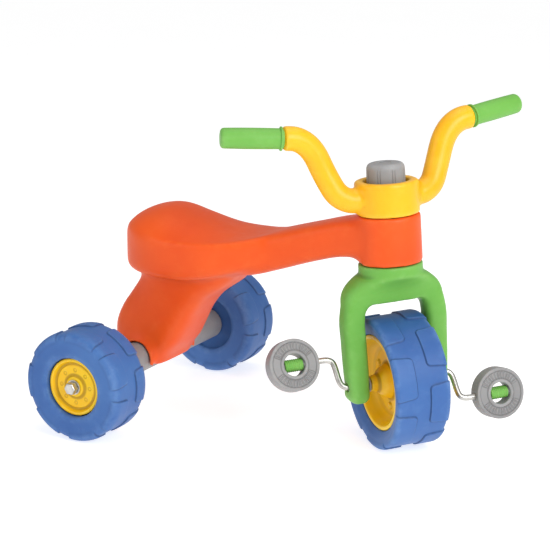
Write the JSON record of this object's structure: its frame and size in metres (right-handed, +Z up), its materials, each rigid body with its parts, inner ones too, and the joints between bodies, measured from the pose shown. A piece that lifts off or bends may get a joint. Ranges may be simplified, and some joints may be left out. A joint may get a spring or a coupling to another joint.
{
  "type": "tricycle",
  "caption": "Child's pedal tricycle in moulded plastic: seat and beam in a single shell on fat wheels, steering fork with handlebar, bent steel crank with round pedals.",
  "frame": {"origin": "on the ground under the middle of the box that holds the whole tricycle", "axes": "+X forwards, +Y to the rider's left, +Z up"},
  "size_m": [0.7015, 0.508, 0.539],
  "materials": {
    "orange_plastic": "blow-moulded polyethylene, satin with a fine moulded texture",
    "yellow_plastic": "moulded plastic, soft gloss",
    "green_plastic": "moulded plastic, satin",
    "blue_plastic": "blow-moulded hard plastic tyre, satin",
    "grey_plastic": "moulded plastic, satin",
    "steel": "drawn and zinc plated"
  },
  "bodies": {
    "frame": {"body_shell": "orange_plastic", "head_bush_lower": "grey_plastic", "head_bush_upper": "grey_plastic", "rear_axle": "steel", "axle_spacer_right": "grey_plastic", "axle_spacer_left": "grey_plastic", "axle_washer_right": "steel", "axle_washer_left": "steel", "axle_nut_right": "steel", "axle_nut_left": "steel"},
    "steering": {"fork": "green_plastic", "steering_bolt": "steel", "knob_washer": "steel", "knob": "grey_plastic", "handlebar": "yellow_plastic", "grip_right": "green_plastic", "grip_left": "green_plastic", "crank_bush_right": "grey_plastic", "crank_bush_left": "grey_plastic"},
    "front_wheel_and_crank": {"front_wheel": "blue_plastic", "front_hub_right": "yellow_plastic", "front_hub_left": "yellow_plastic", "crank": "steel"},
    "pedal_right": {"pedal_ring_right": "grey_plastic", "pedal_sleeve_right": "green_plastic"},
    "pedal_left": {"pedal_ring_left": "grey_plastic", "pedal_sleeve_left": "green_plastic"},
    "rear_wheel_right": {"rear_wheel_right": "blue_plastic", "rear_hub_right": "yellow_plastic"},
    "rear_wheel_left": {"rear_wheel_left": "blue_plastic", "rear_hub_left": "yellow_plastic"}
  },
  "joints": [
    {"name": "steering_turn", "type": "hinge", "parent": "frame", "child": "steering", "pos_m": [0.1893, 0, 0.10752], "axis": [-0.075, 0, 0.9972], "range_deg": [-10, 90]},
    {"name": "front_wheel_spin", "type": "hinge", "parent": "steering", "child": "front_wheel_and_crank", "pos_m": [0.1893, 0, 0.10752], "axis": [0.641, 0.766, 0.0482], "continuous": true},
    {"name": "pedal_right_spin", "type": "hinge", "parent": "front_wheel_and_crank", "child": "pedal_right", "pos_m": [0.061, -0.10613, 0.13944], "axis": [0.641, 0.766, 0.0482], "continuous": true},
    {"name": "pedal_left_spin", "type": "hinge", "parent": "front_wheel_and_crank", "child": "pedal_left", "pos_m": [0.31761, 0.10613, 0.0756], "axis": [0.641, 0.766, 0.0482], "continuous": true},
    {"name": "rear_wheel_right_spin", "type": "hinge", "parent": "frame", "child": "rear_wheel_right", "pos_m": [-0.2607, -0.206, 0.09], "axis": [0, 1, 0], "continuous": true},
    {"name": "rear_wheel_left_spin", "type": "hinge", "parent": "frame", "child": "rear_wheel_left", "pos_m": [-0.2607, 0.206, 0.09], "axis": [0, 1, 0], "continuous": true}
  ]
}
